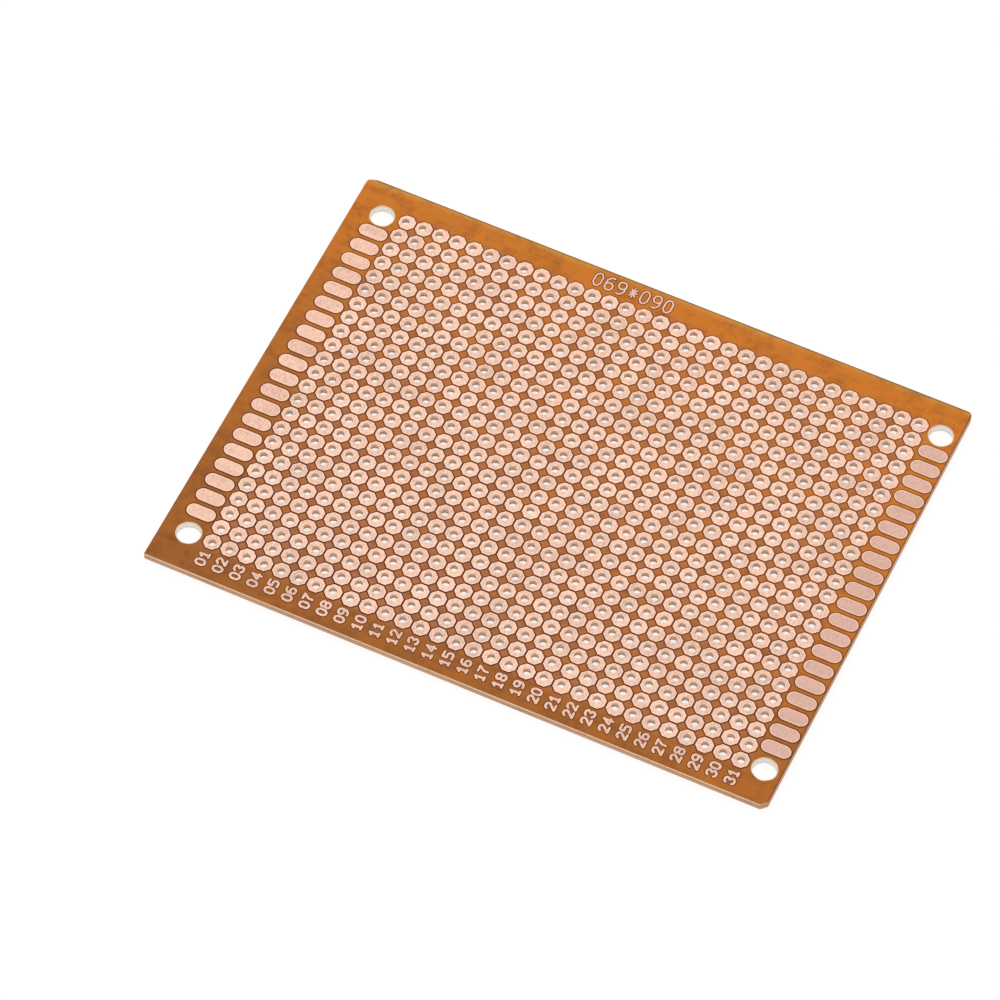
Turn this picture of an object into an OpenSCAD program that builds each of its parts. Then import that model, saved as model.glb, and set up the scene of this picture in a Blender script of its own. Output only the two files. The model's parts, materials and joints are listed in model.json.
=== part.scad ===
// Single-sided prototype board: a punched paper-phenolic sheet with etched copper lands.
// Millimetres. Origin at the middle of the underside, +X along the numbered edge,
// +Y away from the numbered edge, +Z out of the copper side.

/* [Board] */
// Length of the board along its numbered edge
board_w = 90; // [60:0.5:130]
// Width of the board, from its numbered edge to its far edge
board_d = 68.7; // [50:0.1:110]
// Thickness of the laminate sheet
board_t = 1.2; // [0.8:0.1:2.4]
// How far the sheared left edge leans in at its near end
left_lean = 0.75; // [0:0.05:1]
// How far the sheared near edge leans in at its right end
near_lean = 0.35; // [0:0.05:1]
// Bevel at the near right corner
near_bevel = 0.8; // [0.2:0.1:1.4]
// Radius of the worn far right corner
far_round = 0.7; // [0.2:0.1:1.4]
// Length along the far edge of the chip at the far left corner
chip_w = 1.3; // [0.4:0.1:1.6]
// Depth of that chip along the left edge
chip_d = 0.6; // [0.2:0.1:1.2]
// Least bare laminate between any land or hole and the board's edge
edge_clear = 0.15; // [0.1:0.05:0.6]

/* [Lead holes and pads] */
// Distance between neighbouring pads and between the lead holes of one strike
pitch = 2.54; // [2.2:0.02:3.2]
// Diameter of a lead hole
lead_hole_d = 1.05; // [0.7:0.05:1.3]
// Height of the flared break-out at the underside of a lead hole
breakout_h = 0.4; // [0.1:0.05:0.6]
// How far that break-out widens past the hole's wall
breakout_w = 0.25; // [0.05:0.05:0.4]
// Lead holes along one side of the square block that one strike punches
strike = 6; // [4:1:8]
// How far each strike is off along both axes, to and fro from block to block
strike_off = 0.09; // [0:0.01:0.15]
// Bare gap between the flats of neighbouring pads
pad_gap = 0.28; // [0.2:0.02:0.5]
// How far the lead holes sit to the right of the board's middle
grid_x = 1.05; // [0:0.05:1.2]
// How far the lead holes sit beyond the board's middle, toward the far edge
grid_y = 0.35; // [0:0.05:0.6]

/* [Mounting holes] */
// Diameter of a mounting hole
mounting_d = 3.3; // [2.2:0.1:3.6]
// Bare laminate between a mounting hole and the nearest column of pads
mounting_gap = 0.62; // [0.3:0.02:1]
// How far each mounting hole's centre sits inside the outer rows' line
mounting_inset = 0.21; // [0:0.01:0.6]
// How far the four mounting holes sit toward the numbered edge
mounting_drop = 0.25; // [0:0.05:0.5]

/* [Copper print] */
// Thickness of the copper foil
foil_t = 0.035; // [0.03:0.005:0.1]
// How far the print sits to the right of the punched holes
print_x = 0.1; // [0:0.01:0.2]
// How far the print sits from the punched holes toward the numbered edge
print_y = 0.06; // [0:0.01:0.2]
// Turn of the print against the punched holes, in degrees
print_turn = -0.1; // [-0.15:0.01:0.15]

/* [Edge fingers] */
// Length of a finger land
finger_l = 4.08; // [2.4:0.02:5]
// Width of a finger land
finger_w = 1.96; // [1.2:0.02:2.4]
// Bare gap between neighbouring fingers
finger_space = 0.745; // [0.3:0.005:1.2]
// Bare gap between the end of a finger and the nearest pad
finger_gap = 0.28; // [0.2:0.02:0.6]
// Least gap between the outer fingers and the mounting holes
finger_clear = 0.3; // [0.2:0.05:0.8]

/* [Numbers] */
// Height of a column number's digits
digit_h = 1.62; // [1:0.02:2]
// Width of a column number's digits
digit_w = 1.16; // [0.8:0.02:1.4]
// Width of the lines in a column number
digit_line = 0.34; // [0.2:0.01:0.4]
// Gap between the two digits of a column number
digit_space = 0.08; // [0.05:0.01:0.2]
// Gap between the last row of pads and the column numbers
digit_gap = 0.52; // [0.2:0.02:1]
// Height of the size legend's digits
legend_h = 2.3; // [1.6:0.05:2.8]
// Width of the size legend's digits
legend_w = 1.3; // [0.9:0.05:1.8]
// Width of the lines in the size legend
legend_line = 0.24; // [0.16:0.01:0.32]
// Gap between two signs of the size legend
legend_space = 0.44; // [0.2:0.02:0.8]
// Gap between the far row of pads and the size legend
legend_gap = 0.6; // [0.2:0.02:1]
// How far the middle of the size legend sits left of the print's middle
legend_left = 5.4; // [0:0.1:12]

/* [Hidden] */
$fn = 48;

// Pads are octagons that fill the grid but for the bare gap
pad_flats = pitch - pad_gap;
octagon_d = pad_flats / cos(180 / 8);
pad_edge = pad_flats / 2;

// Strips outside the outer pads, which set how many columns and rows fit
pair_l = 2 * digit_w + digit_space;
side_strip = pad_edge + grid_x + edge_clear
    + max(finger_gap + finger_l, mounting_gap + mounting_d);
end_strip = pad_edge + grid_y + edge_clear
    + max(digit_gap + pair_l, legend_gap + legend_h);
columns = floor((board_w - 2 * side_strip) / pitch) + 1;
rows = floor((board_d - 2 * end_strip) / pitch) + 1;
grid_w = (columns - 1) * pitch;
grid_d = (rows - 1) * pitch;

// Mounting holes flank the outer columns
mounting_x = grid_w / 2 + pad_edge + mounting_gap + mounting_d / 2;
mounting_y = grid_d / 2 - mounting_inset;

// Fingers fill the sides between the mounting holes
finger_x = grid_w / 2 + pad_edge + finger_gap + finger_l / 2;
finger_pitch = finger_w + finger_space;
finger_run = 2 * (mounting_y - mounting_drop) - mounting_d - finger_w - 2 * finger_clear;
fingers = floor(finger_run / finger_pitch) + 1;

// Signs are drawn in a cell 4 units wide and 6 units high
cell_w = 4;
cell_h = 6;
star = 10;
cut_past = 1;

// Strokes of each sign: a list of [closed, points], with points in cell units
glyphs = [
    [[true, [[1.2, 0], [2.8, 0], [4, 1.4], [4, 4.6], [2.8, 6], [1.2, 6], [0, 4.6], [0, 1.4]]]],
    [[false, [[0.5, 4.3], [2.2, 6], [2.2, 0]]], [false, [[0.9, 0], [3.4, 0]]]],
    [[false, [[0, 4.8], [1, 6], [3, 6], [4, 5], [4, 4], [0, 0], [4, 0]]]],
    [[false, [[0, 5], [1, 6], [3, 6], [4, 5], [4, 4.2], [2.6, 3.1],
        [4, 2], [4, 1], [3, 0], [1, 0], [0, 1]]]],
    [[false, [[4, 1.7], [0, 1.7], [3, 6]]], [false, [[3, 6], [3, 0]]]],
    [[false, [[3.9, 6], [0, 6], [0, 3.5], [3, 3.5], [4, 2.6], [4, 1], [3, 0], [0, 0]]]],
    [[true, [[1, 0], [3, 0], [4, 1], [4, 2.3], [3, 3.3], [1, 3.3], [0, 2.3], [0, 1]]],
        [false, [[0, 2.3], [0, 4.4], [1.6, 6], [3.4, 6]]]],
    [[false, [[0, 6], [4, 6], [1.4, 2.6], [1.4, 0]]]],
    [[true, [[1, 0], [3, 0], [4, 1], [4, 2.1], [3, 3.1], [1, 3.1], [0, 2.1], [0, 1]]],
        [true, [[1, 3.1], [3, 3.1], [4, 4], [4, 5.1], [3, 6], [1, 6], [0, 5.1], [0, 4]]]],
    [[true, [[1, 2.7], [3, 2.7], [4, 3.7], [4, 5], [3, 6], [1, 6], [0, 5], [0, 3.7]]],
        [false, [[4, 3.7], [4, 1.6], [2.4, 0], [0.6, 0]]]],
    [[false, [[2, 0.8], [2, 5.2]]], [false, [[0, 3], [4, 3]]],
        [false, [[0.5, 1.4], [3.5, 4.6]]], [false, [[0.5, 4.6], [3.5, 1.4]]]]
];

function unit(v) = v / norm(v);
function left_of(v) = [-v[1], v[0]];
function reversed(list) = [for (i = [len(list) - 1 : -1 : 0]) list[i]];

// Points at one side of a line's corner: the mitre inside the turn, a bevel outside it
function corner(p, into, out, side, r) =
    let (a = side * left_of(into), b = side * left_of(out), turn = a * out)
    turn > 0
    ? [p + r * (a + b) / (1 + a * b)]
    : [p + r * a, p + r * unit(a + b), p + r * b];

// Points round the end of a line, from its left side to its right side
function line_end(p, out, r) =
    [for (angle = [0 : 45 : 180])
        p + r * (left_of(out) * cos(angle) + out * sin(angle))];

function heading(points, i, n) = unit(points[(i + 1) % n] - points[(i + n) % n]);

// Points along one side of a line that stays between its two ends
function open_side(points, side, r) =
    let (n = len(points))
    [for (i = [1 : 1 : n - 2])
        each corner(points[i], heading(points, i - 1, n), heading(points, i, n), side, r)];

// Points along one side of a closed line
function ring_side(points, side, r) =
    let (n = len(points))
    [for (i = [0 : n - 1])
        each corner(points[i], heading(points, i - 1, n), heading(points, i, n), side, r)];

// Outline of an open line of half width r
function open_outline(points, r) =
    let (n = len(points))
    concat(
        open_side(points, 1, r),
        line_end(points[n - 1], heading(points, n - 2, n), r),
        reversed(open_side(points, -1, r)),
        line_end(points[0], -heading(points, 0, n), r)
    );

// Pads go in this many nodes, each a band of neighbouring columns
bands = 8;
function first_column(band) = ceil((band - 1) * columns / bands) + 1;
function last_column(band) = ceil(band * columns / bands);
function band_name(band) = str("pads_band_", band);

// Place of a column and of a row, measured from the middle of the lead holes
function column_x(column) = (column - 1) * pitch - grid_w / 2;
function row_y(row) = grid_d / 2 - (row - 1) * pitch;

// Strikes are counted from the right and from the far side; the last one takes what is left over
function strike_number(place, count) = min(floor(place / strike), floor(count / strike) - 1);

// 1 or -1, to and fro from block to block
function strike_side(column, row) =
    (strike_number(columns - column, columns) + strike_number(row - 1, rows)) % 2 == 0 ? 1 : -1;

module on_grid() {
    translate([grid_x, grid_y, 0]) children();
}

module on_print() {
    on_grid() translate([print_x, -print_y, board_t]) rotate(print_turn) children();
}

module board_outline() {
    far_x = board_w / 2 - far_round;
    far_y = board_d / 2 - far_round;
    polygon([
        [-board_w / 2 + left_lean, -board_d / 2],
        [board_w / 2 - near_bevel, -board_d / 2 + near_lean],
        [board_w / 2, -board_d / 2 + near_lean + near_bevel],
        for (angle = [0 : 15 : 90])
            [far_x + far_round * cos(angle), far_y + far_round * sin(angle)],
        [-board_w / 2 + chip_w, board_d / 2],
        [-board_w / 2 + chip_w / 4, board_d / 2 - chip_d / 2],
        [-board_w / 2, board_d / 2 - chip_d]
    ]);
}

module at_lead_hole(column, row) {
    off = strike_off * strike_side(column, row);
    on_grid() translate([column_x(column) - off, row_y(row) + off, 0]) children();
}

module lead_hole(column, row) {
    at_lead_hole(column, row)
        translate([0, 0, -cut_past])
            cylinder(d = lead_hole_d, h = board_t + foil_t + 2 * cut_past);
}

module break_out(column, row) {
    wide_d = lead_hole_d + 2 * breakout_w;
    at_lead_hole(column, row) cylinder(d1 = wide_d, d2 = lead_hole_d, h = breakout_h);
}

module mounting_holes() {
    on_grid()
        for (x = [-mounting_x, mounting_x], y = [-mounting_y, mounting_y])
            translate([x, y - mounting_drop, -cut_past])
                cylinder(d = mounting_d, h = board_t + 2 * cut_past);
}

module laminate() {
    color("#bd6a2c")
        difference() {
            linear_extrude(board_t) board_outline();
            for (column = [1 : columns], row = [1 : rows]) {
                lead_hole(column, row);
                break_out(column, row);
            }
            mounting_holes();
        }
}

module pad(column, row) {
    difference() {
        on_print()
            translate([column_x(column), row_y(row), 0])
                rotate(180 / 8) cylinder(d = octagon_d, h = foil_t, $fn = 8);
        lead_hole(column, row);
    }
}

module pads_band(band) {
    color("#eec0a7")
        for (column = [first_column(band) : last_column(band)], row = [1 : rows])
            pad(column, row);
}

module finger() {
    half_flat = (finger_l - finger_w) / 2;
    translate([-half_flat, -finger_w / 2, 0]) cube([2 * half_flat, finger_w, foil_t]);
    for (x = [-half_flat, half_flat]) translate([x, 0, 0]) cylinder(d = finger_w, h = foil_t);
}

module finger_column(x) {
    first_y = (fingers - 1) * finger_pitch / 2;
    color("#eec0a7")
        on_print()
            for (i = [0 : fingers - 1])
                translate([x, first_y - i * finger_pitch, 0]) finger();
}

module left_fingers() {
    finger_column(-finger_x);
}

module right_fingers() {
    finger_column(finger_x);
}

// One line of a sign, scaled from cell units to the sign's size
module stroke(line, w, h, line_w) {
    scale_x = (w - line_w) / cell_w;
    scale_y = (h - line_w) / cell_h;
    points = [for (p = line[1]) [line_w / 2 + p[0] * scale_x, line_w / 2 + p[1] * scale_y]];
    if (line[0])
        difference() {
            polygon(ring_side(points, -1, line_w / 2));
            polygon(ring_side(points, 1, line_w / 2));
        }
    else
        polygon(open_outline(points, line_w / 2));
}

// One sign, with its lower left corner at the origin
module sign(index, w, h, line_w) {
    for (line = glyphs[index]) linear_extrude(foil_t) stroke(line, w, h, line_w);
}

// Two digits that read toward the pads, with their heads to the left
module column_number(column) {
    translate([column_x(column) + digit_h / 2, -grid_d / 2 - pad_edge - digit_gap - pair_l, 0])
        rotate(90) {
            sign(floor(column / 10), digit_w, digit_h, digit_line);
            translate([digit_w + digit_space, 0, 0])
                sign(column % 10, digit_w, digit_h, digit_line);
        }
}

module column_numbers() {
    color("#f2c6ae") on_print() for (column = [1 : columns]) column_number(column);
}

// The board's two sizes in whole millimetres, with a star between them
module size_numbers() {
    function three_digits(n) = [floor(n / 100) % 10, floor(n / 10) % 10, n % 10];
    signs = concat(three_digits(round(board_d)), [star], three_digits(round(board_w)));
    step = legend_w + legend_space;
    left = -legend_left - (len(signs) * step - legend_space) / 2;
    color("#f2c6ae")
        on_print()
            for (i = [0 : len(signs) - 1])
                translate([left + i * step, grid_d / 2 + pad_edge + legend_gap, 0])
                    sign(signs[i], legend_w, legend_h, legend_line);
}

laminate();
left_fingers();
right_fingers();
column_numbers();
size_numbers();
for (band = [1 : bands])
    pads_band(band);
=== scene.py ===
"""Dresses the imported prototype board: resin, etched copper, torn cut edges and a white studio."""
import json
import math
import random

import bmesh
import bpy
from bpy.props import FloatProperty, FloatVectorProperty, IntProperty, PointerProperty
from mathutils import Matrix, Vector, noise


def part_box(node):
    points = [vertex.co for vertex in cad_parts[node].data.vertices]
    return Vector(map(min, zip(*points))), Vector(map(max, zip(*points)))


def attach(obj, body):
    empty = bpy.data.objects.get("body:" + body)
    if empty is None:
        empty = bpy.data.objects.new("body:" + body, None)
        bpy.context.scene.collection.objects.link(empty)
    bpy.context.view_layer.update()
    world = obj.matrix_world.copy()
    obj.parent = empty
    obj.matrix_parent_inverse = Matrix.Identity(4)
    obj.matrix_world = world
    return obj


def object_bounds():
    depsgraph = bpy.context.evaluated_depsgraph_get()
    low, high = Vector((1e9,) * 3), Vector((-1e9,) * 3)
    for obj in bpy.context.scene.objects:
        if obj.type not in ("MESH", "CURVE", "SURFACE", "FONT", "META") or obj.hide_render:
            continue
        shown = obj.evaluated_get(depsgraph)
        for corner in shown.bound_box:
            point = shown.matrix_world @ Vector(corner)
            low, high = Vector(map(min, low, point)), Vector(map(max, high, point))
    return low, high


bl_info = {
    "name": "Prototype Board",
    "version": (1, 0, 0),
    "blender": (4, 5, 0),
    "location": "View3D > Sidebar > Board",
    "description": "Finishes and small details for a punched single-sided prototype board",
    "category": "Object",
}

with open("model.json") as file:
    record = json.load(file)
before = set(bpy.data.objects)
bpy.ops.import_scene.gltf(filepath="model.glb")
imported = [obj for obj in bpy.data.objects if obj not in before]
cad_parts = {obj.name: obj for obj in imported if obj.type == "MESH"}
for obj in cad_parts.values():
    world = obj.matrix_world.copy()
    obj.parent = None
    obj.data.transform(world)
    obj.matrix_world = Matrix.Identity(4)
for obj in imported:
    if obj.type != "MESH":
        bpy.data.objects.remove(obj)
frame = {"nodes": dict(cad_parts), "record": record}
CAD_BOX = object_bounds()

MM = 0.001
UP = Vector((0, 0, 1))
BOARD_LOW, BOARD_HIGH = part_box("laminate")
BOARD_TOP = BOARD_HIGH.z
FOIL_MIDDLE = (BOARD_TOP + CAD_BOX[1].z) / 2
MOUNTING = next(m for m in frame["record"]["mounts"] if m["name"] == "mounting_holes")
PAD_NODES = sorted(name for name in frame["nodes"] if name.startswith("pads_band_"))
NUMBER_NODES = ("column_numbers", "size_numbers")
COLUMNS = 31
ROWS = 24

# Points closer than this, in metres, count as one
WELD = 1e-7
# A face is a side, not a flat one, where the z of its normal is smaller than this, up or down
SIDE_NORMAL = 0.5
# Sides of the laminate nearer than this to its outline, in millimetres, are cut edge, not hole wall
EDGE_REACH = 0.7
# Gap between a piece's rim and the surface under it, and that under a number's dark line
SKIN = 0.002 * MM
LINE_LIFT = 0.003 * MM

# Painted backlight across the resin, in millimetres: shaded, darker resin up to the first place,
# lit amber from the second, along a slant, and moved to and fro by the broad noise
SHADED_END, AMBER_START = -52.0, 38.0
TONE_SLANT, TONE_WANDER = 0.35, 60
# How dull the resin among the pads is, and what the amber side and the clear patches take off that
DULL, DULL_LESS_AMBER, DULL_LESS_CLEAR = 0.96, 0.34, 0.42
# The resin darkens where the fine noise is below this level, by this much
MOTTLE_LEVEL, MOTTLE_STRENGTH = 0.53, 2.3
# Distance past the outer pads' cells, in millimetres, where the dullness starts to fade and where
# the pads' field ends
PADS_FADE, PADS_END = -0.6, 0.4
# The resin turns yellow between these two places, in millimetres beyond the far edge, once the
# broad noise is added to its own place
YELLOW_START, YELLOW_FULL = -0.5, 0.7
# Share of the width of the painted shade line round each land that is fully dark, the share at
# which it has faded, and what the amber side takes off it
LINE_FULL, LINE_GONE, LINE_LESS_AMBER = 0.4, 1.25, 0.34
# Distance in from the far and right edges, in millimetres, where their painted shade line is full
# and where it has faded, and how dark it is
CRISP_FULL, CRISP_GONE, CRISP_STRENGTH = 0.06, 0.24, 0.75
# Height of the dark seam between paper layers, and of a hole's flare, in millimetres
SEAM_HEIGHT = 0.62
FLARE_FULL, FLARE_GONE = 0.42, 0.62
# Most that tarnish hides of the copper: a share for each land, one for the grain, one for stains
LAND_WEAR, GRAIN_WEAR, STAIN_WEAR = 0.26, 0.5, 0.2
# Strength of the painted highlight along each land's rim, and the darker tone in a plain piece's
# mottling
RIM_HIGHLIGHT = 0.85
PLAIN_SHADE = 0.82
# Height of the fine relief in the resin and in the foil
RESIN_RELIEF = 0.006 * MM
FOIL_RELIEF = 0.002 * MM

# Where the peeled sliver starts, from the far left corner of the top face, and the way it lies
SLIVER_START = Vector((-0.04, -1.55, 0.01)) * MM
SLIVER_WAY = Vector((0.10, 0.98, 0.06)).normalized()
SLIVER_STEPS = 12
LIP_STEP = 0.12 * MM
BURR_STEPS = 90

FLOOR_HALF = 2.0
FLOOR_DROP = 0.01 * MM
# Grey of the floor for the light that it throws back, and as the camera sees it
FLOOR_LIT, FLOOR_SEEN = 0.85, 0.20
WHITE = (1, 1, 1, 1)
SENSOR_MM = 36
CLIP_NEAR, CLIP_FAR = 0.05, 10


def lands(nodes):
    """Middle and size of each separate land in some CAD nodes, in metres."""
    found = []
    for node in nodes:
        mesh = frame["nodes"][node].data
        spots = {}
        spot = [spots.setdefault(tuple(round(c / WELD) for c in vertex.co), len(spots))
                for vertex in mesh.vertices]
        group = list(range(len(spots)))

        def root(i):
            while group[i] != i:
                group[i] = group[group[i]]
                i = group[i]
            return i

        for edge in mesh.edges:
            a, b = (root(spot[i]) for i in edge.vertices)
            group[a] = b
        members = {}
        for vertex, i in zip(mesh.vertices, spot):
            members.setdefault(root(i), []).append(vertex.co)
        for points in members.values():
            low = Vector(map(min, *points))
            high = Vector(map(max, *points))
            found.append(((low + high) / 2, high - low))
    return found


class PrintLayout:
    """Place and spacing of the copper print, in millimetres, measured on the CAD nodes."""

    def __init__(self):
        pads = lands(PAD_NODES)
        far_left = min(pads, key=lambda p: p[0].x - p[0].y)[0]
        far_right = max(pads, key=lambda p: p[0].x + p[0].y)[0]
        near_right = max(pads, key=lambda p: p[0].x - p[0].y)[0]
        run = far_right - far_left
        self.pitch = run.length / (COLUMNS - 1) / MM
        self.turn = math.atan2(run.y, run.x)
        self.middle = (far_left + near_right) / 2 / MM
        self.pad_flats = pads[0][1].x / MM
        fingers = sorted(lands(["right_fingers"]), key=lambda f: f[0].y)
        reach = fingers[-1][0] - fingers[0][0]
        self.finger_count = len(fingers)
        self.finger_pitch = reach.length / (len(fingers) - 1) / MM
        self.finger_l = fingers[0][1].x / MM
        self.finger_w = fingers[0][1].y / MM
        middle = (fingers[0][0] + fingers[-1][0]) / 2 / MM - self.middle
        self.finger_x = middle.length


PRINT = PrintLayout()


def mounting_centres():
    """Centres of the four mounting holes, in metres."""
    middle, dims = MOUNTING["pos_m"], MOUNTING["dims"]
    half_x, half_y = dims["spacing_x_mm"] * MM / 2, dims["spacing_y_mm"] * MM / 2
    return [Vector((middle[0] + i * half_x, middle[1] + j * half_y, BOARD_TOP))
            for i in (-1, 1) for j in (-1, 1)]


def colour(name, description, default):
    return FloatVectorProperty(name=name, description=description, subtype="COLOR", size=3,
                               min=0, max=1, default=default)


def distance(name, description, millimetres):
    return FloatProperty(name=name, description=description, subtype="DISTANCE", unit="LENGTH",
                         default=millimetres * MM, min=0)


def position(name, description, metres):
    return FloatVectorProperty(name=name, description=description, subtype="TRANSLATION",
                               unit="LENGTH", size=3, default=metres)


class BoardSettings(bpy.types.PropertyGroup):
    """Sizes and colours of the laminate's finish."""

    amber: colour("Laminate", "Resin colour of the sheet", (0.640, 0.190, 0.016))
    # Painted shade: the resin's amber with less light through the sheet from below, toward the near
    # left corner
    shaded_resin: colour("Dark resin", "Darker resin toward the near left corner", (0.370, 0.118, 0.018))
    honey: colour("Thin resin", "Yellow resin along the far edge", (0.640, 0.290, 0.050))
    # Darker, duller resin among the pads, less of it where the painted backlight is strong; also
    # the darker paper layers in the cut edge
    dusk: colour("Worn resin", "Duller resin between the pads", (0.470, 0.165, 0.058))
    # Painted shade: the dark line on the resin round each land and each number and along the far
    # and right edges; also the darkest tone of the resin's own mottling
    outline: colour("Etch line", "Dark line where the foil was etched away", (0.085, 0.016, 0.003))
    outline_width: distance("Etch line width", "Width of the dark line round each land", 0.22)
    lip: colour("Torn lip", "Pale broken fibre at the cut edges", (1.000, 0.740, 0.520))
    fibre: colour("Edge fibre", "Tan paper layers in the cut edge", (0.800, 0.520, 0.330))
    # Darker tone at the top of the cut edge, in its seam and at the top of a mounting hole's wall
    edge_dark: colour("Dark edge", "Dark resin at the top of the cut edge", (0.350, 0.130, 0.035))
    wall: colour("Hole wall", "Wall of a punched hole", (0.940, 0.720, 0.560))
    # Partly real break-out fibre, partly painted light from the floor below, in the lower part of
    # each lead hole
    torn: colour("Break-out", "Torn fibre where a hole flares out below", (0.980, 0.900, 0.800))
    # Painted light: a mounting hole's wall near white, partly its own pale fibre and partly light
    # from the floor below
    pale_backlit_bore: colour("Bored wall", "Pale wall of a mounting hole", (1.000, 0.970, 0.920))
    lip_height: distance("Lip height", "Height of the pale torn lip on the cut edge", 0.30)
    lip_drop: distance("Lip drop", "How far below the top face the lip starts", 0.02)
    lip_proud: distance("Lip roughness", "How far the torn lip stands proud of the cut edge", 0.05)
    burr_width: distance("Burr width", "Width of the pale ring round a mounting hole", 0.15)
    burr_height: distance("Burr height", "How far that ring stands above the top face", 0.03)
    sliver_length: distance("Sliver length", "Length of the sliver at the chipped corner", 1.1)


class CopperSettings(bpy.types.PropertyGroup):
    """Colours and sizes of the foil's finish."""

    copper: colour("Copper", "Clean etched copper", (0.850, 0.545, 0.405))
    tarnish: colour("Tarnish", "Greyer copper in worn places", (0.500, 0.310, 0.235))
    # Painted highlight along each land's rim
    rim: colour("Rim", "Bright rounded rim of each land", (0.890, 0.600, 0.450))
    worn: colour("Worn copper", "Greyer copper of the right-hand fingers", (0.644, 0.389, 0.316))
    bright: colour("Bright copper", "Paler copper of the left-hand fingers", (0.794, 0.494, 0.373))
    # Painted shadow: width of the dark ribbon round each number
    number_shade_width: distance("Number outline", "Width of the dark line round each number", 0.11)


class StudioSettings(bpy.types.PropertyGroup):
    """Camera and light, and the seed of everything torn."""

    place: position("Camera", "Place of the camera", (0.17011, -0.40384, 0.64289))
    target: position("Target", "Point on the board that the camera looks at",
                     (-0.00588, -0.00618, 0.00124))
    roll: FloatProperty(name="Roll", description="Tilt of the camera about its line of sight",
                        subtype="ANGLE", unit="ROTATION", default=math.radians(1.851))
    lens: FloatProperty(name="Lens", description="Focal length on a 36 mm sensor",
                        unit="CAMERA", default=210.96, min=20)
    sky: FloatProperty(name="Sky", description="Strength of the white surroundings",
                       default=0.8, min=0)
    lamp: FloatProperty(name="Lamp power", description="Power of the large soft lamp",
                        unit="POWER", default=1.6, min=0)
    lamp_place: position("Lamp place", "Place of the lamp, which points at the board",
                         (-0.30, 0.40, 0.70))
    lamp_size: FloatProperty(name="Lamp size", description="Side of the square lamp",
                             subtype="DISTANCE", unit="LENGTH", default=0.8, min=0)
    glow: FloatProperty(name="Floor glow", description="Glow of the floor as the camera sees it",
                        default=0.84, min=0)
    seed: IntProperty(name="Seed", description="Seed of the torn edges, burrs and sliver",
                      default=7)


class Field:
    """A shader socket. Arithmetic on it adds Math nodes, for a value that varies over a surface."""

    def __init__(self, nodes, socket):
        self.nodes, self.socket = nodes, socket

    def maths(self, operation, *values):
        return self.nodes.add("ShaderNodeMath", {"operation": operation}, dict(enumerate(values)))

    def __add__(self, other):
        return self.maths("ADD", self, other)

    def __sub__(self, other):
        return self.maths("SUBTRACT", self, other)

    def __rsub__(self, other):
        return self.maths("SUBTRACT", other, self)

    def __mul__(self, other):
        return self.maths("MULTIPLY", self, other)

    def __truediv__(self, other):
        return self.maths("DIVIDE", self, other)

    def __rtruediv__(self, other):
        return self.maths("DIVIDE", other, self)

    def __gt__(self, other):
        return self.maths("GREATER_THAN", self, other)

    def __lt__(self, other):
        return self.maths("LESS_THAN", self, other)

    def __abs__(self):
        return self.maths("ABSOLUTE", self)

    def rounded(self):
        return self.maths("ROUND", self)

    def at_least(self, other):
        return self.maths("MAXIMUM", self, other)

    def at_most(self, other):
        return self.maths("MINIMUM", self, other)

    __radd__ = __add__
    __rmul__ = __mul__


class Nodes:
    """A node tree. Every node in it, other than arithmetic, comes from add()."""

    def __init__(self, tree):
        self.tree = tree

    def add(self, kind, choices=None, inputs=None, output=0):
        """A node of that type: its settings are set first, then its sockets' values or links."""
        node = self.tree.nodes.new(kind)
        for name, value in (choices or {}).items():
            setattr(node, name, value)
        for name, value in (inputs or {}).items():
            if isinstance(value, Field):
                self.tree.links.new(value.socket, node.inputs[name])
            else:
                node.inputs[name].default_value = value
        return Field(self, node.outputs[output])

    def seen(self):
        """1 where the camera sees this, straight, mirrored or through glass, 0 for other light."""
        ray = self.add("ShaderNodeLightPath").socket.node.outputs
        camera, glossy, through = [Field(self, ray[f"Is {kind} Ray"])
                                   for kind in ("Camera", "Glossy", "Transmission")]
        return camera.at_least(glossy).at_least(through)


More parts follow.
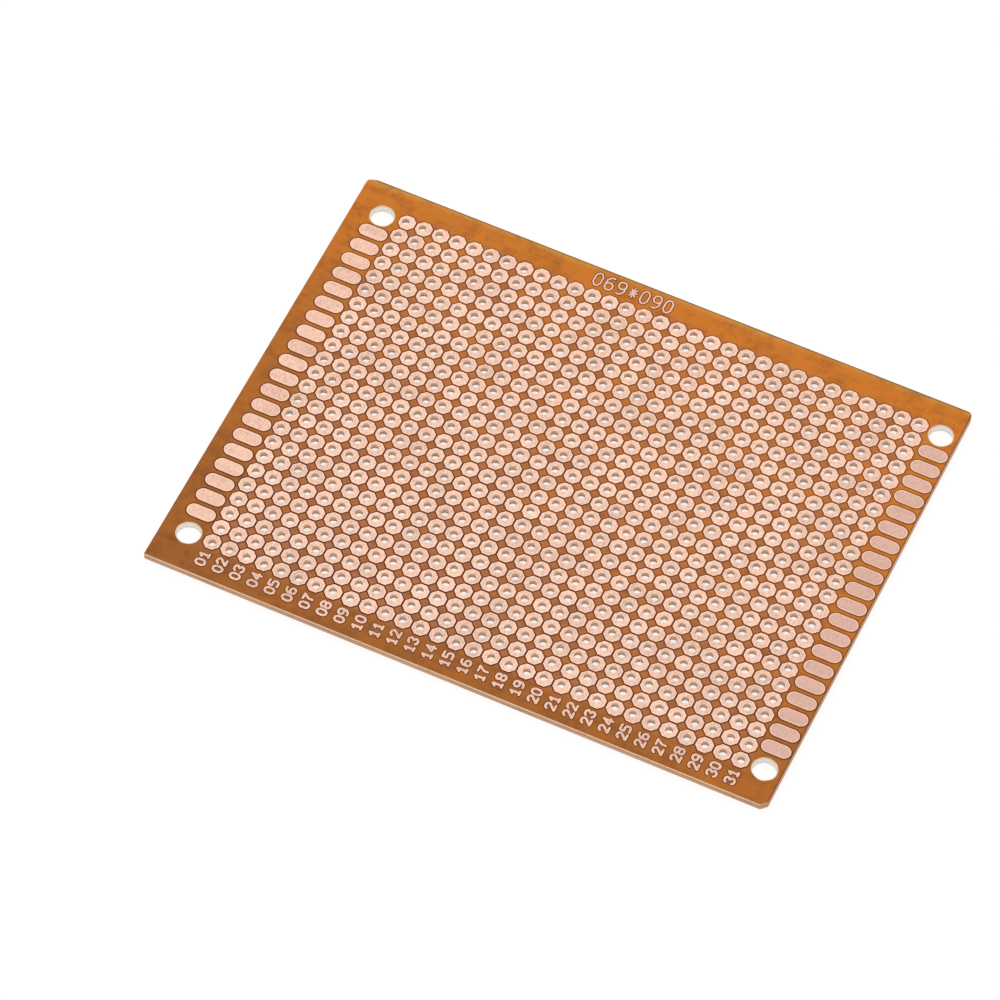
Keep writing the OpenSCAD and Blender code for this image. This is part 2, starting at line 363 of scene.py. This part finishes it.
class Finish(Nodes):
    """One procedural material, on the object's own places in millimetres."""

    def __init__(self, name, **constants):
        self.material = bpy.data.materials.new(name)
        self.material.use_nodes = True
        super().__init__(self.material.node_tree)
        self.shader = self.tree.nodes["Principled BSDF"]
        for socket, value in constants.items():
            self.shader.inputs[socket.replace("_", " ")].default_value = value
        metres = self.add("ShaderNodeTexCoord", output="Object")
        self.place = self.add("ShaderNodeVectorMath", {"operation": "SCALE"},
                              {0: metres, "Scale": 1 / MM})
        self.x, self.y, self.z = self.split(self.place)

    def split(self, vector):
        parts = self.add("ShaderNodeSeparateXYZ", inputs={0: vector}).socket.node.outputs
        return [Field(self, socket) for socket in parts]

    def join(self, x, y):
        return self.add("ShaderNodeCombineXYZ", inputs={0: x, 1: y})

    def length(self, x, y):
        """Length of the vector x, y."""
        return self.add("ShaderNodeVectorMath", {"operation": "LENGTH"}, {0: self.join(x, y)},
                        "Value")

    def mix(self, factor, a, b):
        """A colour that goes from a to b as factor goes from 0 to 1."""
        a, b = [value if isinstance(value, Field) else (*value, 1) for value in (a, b)]
        return self.add("ShaderNodeMix", {"data_type": "RGBA"}, {0: factor, 6: a, 7: b}, 2)

    def ramp(self, value, low, high):
        """0 where value is at or below low, 1 at or above high, and smooth between."""
        return self.add("ShaderNodeMapRange", {"interpolation_type": "SMOOTHSTEP"},
                        {0: value, 1: low, 2: high})

    def cloud(self, scale, detail, stretch=(1, 1, 1), offset=0.0):
        """Noise about 0.5 with scale cycles to a millimetre, stretched along each axis."""
        moved = self.add("ShaderNodeMapping", inputs={
            "Vector": self.place, "Location": (offset, offset, offset), "Scale": stretch})
        return self.add("ShaderNodeTexNoise", inputs={
            "Vector": moved, "Scale": scale, "Detail": detail})

    def chance(self, x, y):
        """A random number from 0 to 1 for each pair of whole numbers x, y."""
        return self.add("ShaderNodeTexWhiteNoise", {"noise_dimensions": "2D"},
                        {"Vector": self.join(x, y)})

    def drive(self, **sockets):
        """Feeds the shader's sockets of those names."""
        for name, value in sockets.items():
            self.tree.links.new(value.socket, self.shader.inputs[name.replace("_", " ")])

    def bump(self, height, rise):
        """Raises the surface by height times rise, in metres."""
        self.drive(Normal=self.add("ShaderNodeBump", inputs={"Distance": rise, "Height": height}))

    def on_print(self):
        """The place measured from the middle of the copper print and turned with it."""
        x, y = self.x - PRINT.middle.x, self.y - PRINT.middle.y
        return x + y * PRINT.turn, y - x * PRINT.turn

    def pad_cell(self, u, v):
        """The place from the middle of the nearest pad, and that pad's two numbers."""
        cells = []
        for value, count in ((u, COLUMNS), (v, ROWS)):
            half = (count - 1) / 2
            number = (value / PRINT.pitch + half).rounded().at_least(0.0).at_most(count - 1.0)
            cells.append((value - (number - half) * PRINT.pitch, number))
        (du, column), (dv, row) = cells
        return du, dv, column, row

    def pad_distance(self, du, dv):
        """Distance outside an octagonal pad; negative inside it."""
        du, dv = abs(du), abs(dv)
        slant = (du + dv) * math.sqrt(0.5)
        return du.at_least(dv).at_least(slant) - PRINT.pad_flats / 2

    def finger_distance(self, u, v):
        """Distance outside the nearest finger; negative inside it."""
        half = (PRINT.finger_count - 1) / 2
        number = (v / PRINT.finger_pitch + half).rounded().at_least(0.0).at_most(2 * half)
        dv = v - (number - half) * PRINT.finger_pitch
        straight = (PRINT.finger_l - PRINT.finger_w) / 2
        du = (abs(abs(u) - PRINT.finger_x) - straight).at_least(0.0)
        return self.length(du, dv) - PRINT.finger_w / 2

    def land_distance(self, u, v):
        """Distance outside the nearest pad or finger, and the nearest pad's column and row."""
        du, dv, column, row = self.pad_cell(u, v)
        outside = self.pad_distance(du, dv).at_most(self.finger_distance(u, v))
        return outside, column, row


class LaminateFinish(Finish):
    """Resin sheet: mottled faces under painted backlight, painted shade lines, layered cut edges
    and pale hole walls partly painted with light from below.
    """

    def __init__(self, board):
        super().__init__("laminate", Specular_IOR_Level=0.12)
        self.board = board
        self.blotch = self.cloud(scale=0.10, detail=3)
        self.streak = self.cloud(scale=0.9, detail=2, stretch=(0.18, 1, 1))
        self.mottle = self.cloud(scale=1.6, detail=3, offset=3)
        self.fleck = self.cloud(scale=5, detail=2, offset=9)
        self.u, self.v = self.on_print()
        self.past_pads = (abs(self.u) - PRINT.pitch * COLUMNS / 2).at_least(
            abs(self.v) - PRINT.pitch * ROWS / 2)
        self.half_w, self.half_d = BOARD_HIGH.x / MM, BOARD_HIGH.y / MM
        self.far_or_right = (self.half_w - self.x).at_most(self.half_d - self.y)
        top = BOARD_TOP / MM
        self.rim = self.ramp(self.z + (self.mottle - 0.5) * 0.16, low=top - 0.2, high=top - 0.08)

        facing = self.split(self.add("ShaderNodeNewGeometry", output="Normal"))[2]
        flat = abs(facing) > SIDE_NORMAL
        side = self.mix(self.inside() > EDGE_REACH, self.cut_edge(), self.hole_wall())
        self.drive(Base_Color=self.mix(flat, side, self.face(facing > SIDE_NORMAL)),
                   Roughness=0.86 - flat * (0.5 - self.blotch * 0.16))
        self.bump(self.fleck + self.streak, RESIN_RELIEF)

    def inside(self):
        """Distance in from the nearest edge. The left one leans in toward its near end."""
        near_left = board_outline()[0] / MM
        slope = (self.half_w + near_left.x) / (2 * self.half_d)
        left = self.x + self.half_w - (self.half_d - self.y) * slope
        return self.far_or_right.at_most(left).at_most(self.y + self.half_d)

    def resin(self, backlight):
        """Shaded to amber resin as the painted backlight rises, duller among the pads, yellow at
        the far edge, mottled.
        """
        board = self.board
        resin = self.mix(backlight, board.shaded_resin, board.amber)
        among_pads = 1.0 - self.ramp(self.past_pads, PADS_FADE, PADS_END)
        patch = self.cloud(scale=0.42, detail=2, offset=5)
        clear = self.ramp(patch, low=0.48, high=0.66)
        dull = among_pads * (DULL - backlight * DULL_LESS_AMBER - clear * DULL_LESS_CLEAR)
        resin = self.mix(dull, resin, board.dusk)
        yellow = self.ramp(self.y + self.blotch * 1.2, self.half_d + YELLOW_START,
                           self.half_d + YELLOW_FULL)
        resin = self.mix(yellow, resin, board.honey)
        uneven = (self.mottle + self.streak + self.fleck + patch * 2) / 5
        return self.mix((MOTTLE_LEVEL - uneven) * MOTTLE_STRENGTH, resin, board.outline)

    def face(self, upper):
        """Resin with painted shade lines round the lands, which fade toward the backlit amber side,
        and a painted shade line along the far and right edges.
        """
        wander = (self.blotch - 0.5) * TONE_WANDER
        # Painted backlight, rising from the near left toward the far right
        backlight = self.ramp(self.y + self.x * TONE_SLANT + wander, SHADED_END, AMBER_START)
        width = self.board.outline_width / MM
        bare = self.land_distance(self.u, self.v)[0]
        # Painted shade: a dark line on the resin round each land
        etched = upper * (1.0 - self.ramp(bare, width * LINE_FULL, width * LINE_GONE))
        # Painted shade: a dark line along the far and right edges, for their shaded sides
        far_edge_shade = 1.0 - self.ramp(self.far_or_right, CRISP_FULL, CRISP_GONE)
        lines = (etched * (1.0 - backlight * LINE_LESS_AMBER)).at_least(far_edge_shade * CRISP_STRENGTH)
        return self.mix(lines, self.resin(backlight), self.board.outline)

    def cut_edge(self):
        """Paper layers with a darker seam, darker at the top."""
        board = self.board
        grain = self.cloud(scale=1.4, detail=3, stretch=(0.12, 0.12, 4.0))
        layers = self.ramp(grain, low=0.3, high=0.7)
        paper = self.mix(layers * 0.5, board.fibre, board.dusk)
        off_seam = abs(self.z + (self.mottle - 0.5) * 0.3 - SEAM_HEIGHT)
        seam = 1.0 - self.ramp(off_seam, low=0.05, high=0.16)
        return self.mix(self.rim, self.mix(seam * 0.45, paper, board.edge_dark), board.edge_dark)

    def hole_wall(self):
        """Lead holes paler toward the bottom, partly torn fibre and partly painted light from
        below, and mounting holes outside the pads near white, partly painted light from below.
        """
        board = self.board
        # Paler toward the bottom of a lead hole: partly real break-out, partly painted light from
        # below
        flare_and_backlight = 1.0 - self.ramp(self.z + self.fleck * 0.2, FLARE_FULL, FLARE_GONE)
        punched = self.mix(flare_and_backlight, board.wall, board.torn)
        pale_backlit_bore = self.mix(self.rim * 0.25, board.pale_backlit_bore, board.edge_dark)
        return self.mix(self.past_pads > PADS_END, punched, pale_backlit_bore)


def copper_finish(name, metal, clean):
    """Etched foil: a painted highlight along each land's rim, tone that differs from land to land,
    fine brushed grain.
    """
    finish = Finish(name, Metallic=0.6)
    outside, column, row = finish.land_distance(*finish.on_print())
    # Painted highlight: paler copper near each land's edge
    rim = 1.0 - finish.ramp(abs(outside), low=0.02, high=0.16)
    stain = finish.cloud(scale=0.16, detail=3, offset=4)
    grain = finish.cloud(scale=4, detail=2, stretch=(1, 0.3, 1))
    fleck = finish.cloud(scale=3.2, detail=3, offset=2)
    wear = finish.chance(column, row) * LAND_WEAR
    wear = wear + finish.ramp(grain * 0.5 + fleck * 0.5, low=0.38, high=0.66) * GRAIN_WEAR
    wear = wear + finish.ramp(stain, low=0.45, high=0.7) * STAIN_WEAR
    body = finish.mix(wear, clean, metal.tarnish)
    finish.drive(Base_Color=finish.mix(rim * RIM_HIGHLIGHT, body, metal.rim),
                 Roughness=0.34 + grain * 0.16 + fleck * 0.08)
    finish.bump(grain + fleck, FOIL_RELIEF)
    return finish.material


def plain_finish(name, base, roughness, gloss):
    """A material of one colour with a little mottling."""
    finish = Finish(name, Roughness=roughness, Specular_IOR_Level=gloss)
    fleck = finish.ramp(finish.cloud(scale=6, detail=3), low=0.35, high=0.65)
    finish.drive(Base_Color=finish.mix(fleck, [c * PLAIN_SHADE for c in base], base))
    return finish.material


def dress(node, material):
    """Gives a CAD node its procedural material."""
    mesh = frame["nodes"][node].data
    mesh.materials.clear()
    mesh.materials.append(material)


def add_piece(name, vertices, faces, material, smooth=True):
    """A mesh piece, in metres, that rides with the board."""
    mesh = bpy.data.meshes.new(name)
    mesh.from_pydata(vertices, [], faces)
    if smooth:
        mesh.shade_smooth()
    mesh.materials.append(material)
    piece = bpy.data.objects.new(name, mesh)
    bpy.context.scene.collection.objects.link(piece)
    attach(piece, "root")


def swept(path, section_at):
    """Vertices and faces of a closed sweep: section_at(point, outward) gives a ring's points."""
    rings = []
    count = len(path)
    for i, point in enumerate(path):
        along = (path[(i + 1) % count] - path[i - 1]).normalized()
        rings.append(section_at(point, Vector((along.y, -along.x, 0))))
    width = len(rings[0])
    faces = [(i * width + j, (i + 1) % count * width + j,
              (i + 1) % count * width + j + 1, i * width + j + 1)
             for i in range(count) for j in range(width - 1)]
    return [p for ring in rings for p in ring], faces


def welded(node):
    """A CAD node's mesh for editing, with the vertices that lie at one point merged."""
    mesh = bmesh.new()
    mesh.from_mesh(frame["nodes"][node].data)
    bmesh.ops.remove_doubles(mesh, verts=mesh.verts, dist=WELD)
    return mesh


def board_outline():
    """Corners of the board's top outline, counter-clockwise from the near left, in metres."""
    mesh = welded("laminate")
    after = {}
    for edge in mesh.edges:
        level = all(abs(v.co.z - BOARD_TOP) < WELD for v in edge.verts)
        sides = [f for f in edge.link_faces if abs(f.normal.z) < SIDE_NORMAL]
        if level and sides and len(edge.link_faces) == 2:
            a, b = (v.co.copy() for v in edge.verts)
            if (b - a).cross(sides[0].normal).z > 0:
                a, b = b, a
            after[tuple(a)] = b
    mesh.free()
    start = min(after, key=lambda p: p[0] + p[1])
    loop = [Vector(start)]
    while True:
        following = after[tuple(loop[-1])]
        if (following - loop[0]).length < WELD:
            return loop
        loop.append(following)


def walk(corners, step):
    """Points about one step apart along a closed line, corners kept."""
    points = []
    for a, b in zip(corners, corners[1:] + corners[:1]):
        parts = max(1, round((b - a).length / step))
        points += [a.lerp(b, k / parts) for k in range(parts)]
    return points


def rough(point, scale, seed):
    """Smooth noise from -1 to 1 at a point in metres, with scale cycles to a millimetre."""
    return noise.noise(point * (scale / MM) + Vector((seed, seed, 0)))


def torn_section(board, seed):
    """Cross-section of the torn lip below the top edge: tall at the near and left edges."""
    def section(point, outward):
        # 1 where the edge faces the near or left side, and 0.12 at the far and right edges
        tall = max(0.12, -2.5 * min(outward.x, outward.y) - 1.5)
        tear = rough(point, scale=1.1, seed=seed)
        frayed = rough(point, scale=4.0, seed=seed + 5)
        proud = board.lip_proud * (0.55 + 0.45 * frayed)
        height = board.lip_height * tall * (1 + 0.35 * tear + 0.2 * frayed)
        drop = board.lip_drop * tall * (1 + 0.6 * tear)
        out_and_down = [(SKIN, 0), (proud, 0.15), (proud * (1 + 0.3 * frayed), 0.5),
                        (proud * 0.8, 0.85), (SKIN, 1)]
        return [point + outward * out - UP * (drop + height * down)
                for out, down in out_and_down]
    return section


def burr_section(board, centre, seed):
    """Cross-section of the ring that the drill raised round a mounting hole."""
    radius = MOUNTING["dims"]["hole_r_mm"] * MM

    def section(point, outward):
        width = board.burr_width * (0.8 + 0.5 * rough(point, scale=1.6, seed=seed))
        rise = board.burr_height * (0.8 + 0.6 * rough(point, scale=3.0, seed=seed + 3))
        # Out from the hole's wall and up from the top face; the last point lies inside the hole
        out_and_up = [(width, SKIN), (width * 0.55, rise * 0.8), (width * 0.12, rise),
                      (0.004 * MM, rise * 0.5), (-0.012 * MM, -0.10 * MM)]
        return [centre + outward * (radius + out) + UP * up for out, up in out_and_up]
    return section


def land_outline(node, width):
    """Vertices and faces of a flat ribbon round every land of a CAD node, on the laminate."""
    mesh = welded(node)
    vertices, faces = [], []
    for edge in mesh.edges:
        upper = all(v.co.z > FOIL_MIDDLE for v in edge.verts)
        sides = [f for f in edge.link_faces if abs(f.normal.z) < SIDE_NORMAL]
        if not upper or len(sides) != 1:
            continue
        first = len(vertices)
        for vertex in edge.verts:
            normals = [f.normal for f in vertex.link_faces if abs(f.normal.z) < SIDE_NORMAL]
            away = sum(normals, Vector()).normalized()
            start = Vector((vertex.co.x, vertex.co.y, BOARD_TOP + LINE_LIFT))
            vertices += [start, start + away * width]
        faces.append((first, first + 2, first + 3, first + 1))
    mesh.free()
    return vertices, faces


class BOARD_OT_laminate(bpy.types.Operator):
    """Gives the laminate its resin faces under painted backlight, painted shade lines round the
    lands, layered edges and pale hole walls partly painted with light from below
    """

    bl_idname = "board.laminate"
    bl_label = "Laminate"

    def execute(self, context):
        dress("laminate", LaminateFinish(context.scene.board_finish).material)
        return {"FINISHED"}


class BOARD_OT_copper(bpy.types.Operator):
    """Gives the pads, fingers and printed numbers their copper"""

    bl_idname = "board.copper"
    bl_label = "Copper"

    def execute(self, context):
        metal = context.scene.copper_finish
        pads = copper_finish("pad_copper", metal, metal.copper)
        for node in PAD_NODES:
            dress(node, pads)
        dress("left_fingers", copper_finish("left_finger_copper", metal, metal.bright))
        dress("right_fingers", copper_finish("right_finger_copper", metal, metal.worn))
        numbers = copper_finish("number_copper", metal, metal.bright)
        for node in NUMBER_NODES:
            dress(node, numbers)
        return {"FINISHED"}


class BOARD_OT_number_lines(bpy.types.Operator):
    """Adds a painted shadow, a flat dark ribbon on the laminate round each printed number"""

    bl_idname = "board.number_lines"
    bl_label = "Number outlines"

    def execute(self, context):
        scene = context.scene
        material = plain_finish("painted_shade_line", scene.board_finish.outline, 0.6, gloss=0.2)
        for node in NUMBER_NODES:
            vertices, faces = land_outline(node, scene.copper_finish.number_shade_width)
            add_piece(node + "_outline", vertices, faces, material, smooth=False)
        return {"FINISHED"}


class BOARD_OT_torn_edges(bpy.types.Operator):
    """Adds the pale torn lip along the board's cut edges"""

    bl_idname = "board.torn_edges"
    bl_label = "Torn edges"

    def execute(self, context):
        board, seed = context.scene.board_finish, context.scene.studio.seed
        path = walk(board_outline(), LIP_STEP)
        vertices, faces = swept(path, torn_section(board, seed))
        material = plain_finish("torn_fibre", board.lip, 0.85, gloss=0.2)
        add_piece("torn_lip", vertices, faces, material)
        return {"FINISHED"}


class BOARD_OT_mounting_burrs(bpy.types.Operator):
    """Adds the ring of raised fibre round each mounting hole"""

    bl_idname = "board.mounting_burrs"
    bl_label = "Mounting hole burrs"

    def execute(self, context):
        board, seed = context.scene.board_finish, context.scene.studio.seed
        material = plain_finish("raised_fibre", board.lip, 0.8, gloss=0.25)
        turns = [2 * math.pi * k / BURR_STEPS for k in range(BURR_STEPS)]
        for number, centre in enumerate(mounting_centres(), 1):
            path = [centre + Vector((math.cos(a), math.sin(a), 0)) * MM for a in turns]
            vertices, faces = swept(path, burr_section(board, centre, seed + 11 * number))
            add_piece(f"mounting_burr_{number}", vertices, faces, material)
        return {"FINISHED"}


class BOARD_OT_corner_sliver(bpy.types.Operator):
    """Adds the pale sliver that peels off at the chipped corner"""

    bl_idname = "board.corner_sliver"
    bl_label = "Corner sliver"

    def execute(self, context):
        board, seed = context.scene.board_finish, context.scene.studio.seed
        draw = random.Random(seed)
        root = Vector((BOARD_LOW.x, BOARD_HIGH.y, BOARD_TOP)) + SLIVER_START
        across = Vector((-SLIVER_WAY.y, SLIVER_WAY.x, 0)).normalized()
        vertices, faces = [], []
        # Its width and thickness taper to a blunt tip, and the width is a little uneven
        for k in range(SLIVER_STEPS + 1):
            t = k / SLIVER_STEPS
            middle = root + SLIVER_WAY * board.sliver_length * t
            half = (0.09 * (1 - t) ** 0.7 + 0.012 + 0.012 * draw.random()) * MM
            down = UP * (0.08 * (1 - t) + 0.02) * MM
            vertices += [middle - across * half, middle + across * half,
                         middle + across * half - down, middle - across * half - down]
            if k:
                a, b = 4 * (k - 1), 4 * k
                faces += [(a + j, b + j, b + (j + 1) % 4, a + (j + 1) % 4) for j in range(4)]
        last = 4 * SLIVER_STEPS
        faces += [(0, 1, 2, 3), (last + 3, last + 2, last + 1, last)]
        material = plain_finish("peeled_fibre", board.lip, 0.8, gloss=0.2)
        add_piece("corner_sliver", vertices, faces, material, smooth=False)
        return {"FINISHED"}


def grey(value):
    return (value, value, value)


class BOARD_OT_stage(bpy.types.Operator):
    """Sets the white floor and surroundings, one large soft lamp and the camera"""

    bl_idname = "board.stage"
    bl_label = "Stage"

    def execute(self, context):
        studio = context.scene.studio
        self.floor(studio)
        self.surroundings(context.scene, studio)
        self.lamp(context.scene, studio)
        self.camera(context.scene, studio)
        return {"FINISHED"}

    def floor(self, studio):
        """A white floor that the camera sees glowing, so that only the board's shadow stays."""
        finish = Finish("white_floor", Roughness=1.0, Specular_IOR_Level=0.0,
                        Emission_Strength=1.0)
        seen = finish.seen()
        finish.drive(Base_Color=finish.mix(seen, grey(FLOOR_LIT), grey(FLOOR_SEEN)),
                     Emission_Color=finish.mix(seen, grey(0.0), grey(studio.glow)))
        half, level = FLOOR_HALF, CAD_BOX[0].z - FLOOR_DROP
        mesh = bpy.data.meshes.new("floor")
        mesh.from_pydata([(-half, -half, level), (half, -half, level),
                          (half, half, level), (-half, half, level)], [], [(0, 1, 2, 3)])
        mesh.materials.append(finish.material)
        floor = bpy.data.objects.new("floor", mesh)
        bpy.context.scene.collection.objects.link(floor)

    def surroundings(self, scene, studio):
        """Plain white all round, pure white where the camera sees it."""
        world = bpy.data.worlds.new("surroundings")
        world.use_nodes = True
        scene.world = world
        tree = world.node_tree
        tree.nodes.remove(tree.nodes["Background"])
        nodes = Nodes(tree)
        lit = nodes.add("ShaderNodeBackground", inputs={"Color": WHITE, "Strength": studio.sky})
        pure = nodes.add("ShaderNodeBackground", inputs={"Color": WHITE})
        sight = nodes.add("ShaderNodeMixShader", inputs={0: nodes.seen(), 1: lit, 2: pure})
        tree.links.new(sight.socket, tree.nodes["World Output"].inputs["Surface"])

    def lamp(self, scene, studio):
        """One large square lamp that points at the board."""
        light = bpy.data.lights.new("soft_lamp", "AREA")
        light.size = studio.lamp_size
        light.energy = studio.lamp
        lamp = bpy.data.objects.new("soft_lamp", light)
        lamp.location = studio.lamp_place
        lamp.rotation_euler = (-lamp.location).to_track_quat("-Z", "Y").to_euler()
        scene.collection.objects.link(lamp)

    def camera(self, scene, studio):
        """The camera at the photograph's angle, and plain colours."""
        lens = bpy.data.cameras.new("camera")
        lens.lens, lens.sensor_width = studio.lens, SENSOR_MM
        lens.clip_start, lens.clip_end = CLIP_NEAR, CLIP_FAR
        camera = bpy.data.objects.new("camera", lens)
        place = Vector(studio.place)
        back = (place - Vector(studio.target)).normalized()
        right = Vector((-back.y, back.x, 0)).normalized()
        upward = back.cross(right)
        turned = Matrix((right, upward, back)).transposed().to_4x4()
        camera.matrix_world = (Matrix.Translation(place) @ turned
                               @ Matrix.Rotation(studio.roll, 4, "Z"))
        scene.collection.objects.link(camera)
        scene.camera = camera
        scene.view_settings.view_transform = "Standard"


OPERATORS = (BOARD_OT_laminate, BOARD_OT_copper, BOARD_OT_number_lines, BOARD_OT_torn_edges,
             BOARD_OT_mounting_burrs, BOARD_OT_corner_sliver, BOARD_OT_stage)


class BOARD_PT_steps(bpy.types.Panel):
    """Lists the steps that dress the board"""

    bl_idname = "BOARD_PT_steps"
    bl_label = "Prototype Board"
    bl_space_type = "VIEW_3D"
    bl_region_type = "UI"
    bl_category = "Board"

    def draw(self, context):
        for operator in OPERATORS:
            self.layout.operator(operator.bl_idname)
        for group in GROUPS:
            values = getattr(context.scene, group)
            for name in values.bl_rna.properties.keys():
                if name not in ("rna_type", "name"):
                    self.layout.prop(values, name)


GROUPS = {"board_finish": BoardSettings, "copper_finish": CopperSettings, "studio": StudioSettings}
CLASSES = (*GROUPS.values(), *OPERATORS, BOARD_PT_steps)


def register():
    for cls in CLASSES:
        bpy.utils.register_class(cls)
    for name, cls in GROUPS.items():
        setattr(bpy.types.Scene, name, PointerProperty(type=cls))


def unregister():
    for name in GROUPS:
        delattr(bpy.types.Scene, name)
    for cls in reversed(CLASSES):
        bpy.utils.unregister_class(cls)


def main():
    """Dresses the board step by step."""
    register()
    bpy.ops.board.laminate()
    bpy.ops.board.copper()
    bpy.ops.board.number_lines()
    bpy.ops.board.torn_edges()
    bpy.ops.board.mounting_burrs()
    bpy.ops.board.corner_sliver()
    bpy.ops.board.stage()


if __name__ == "__main__":
    main()
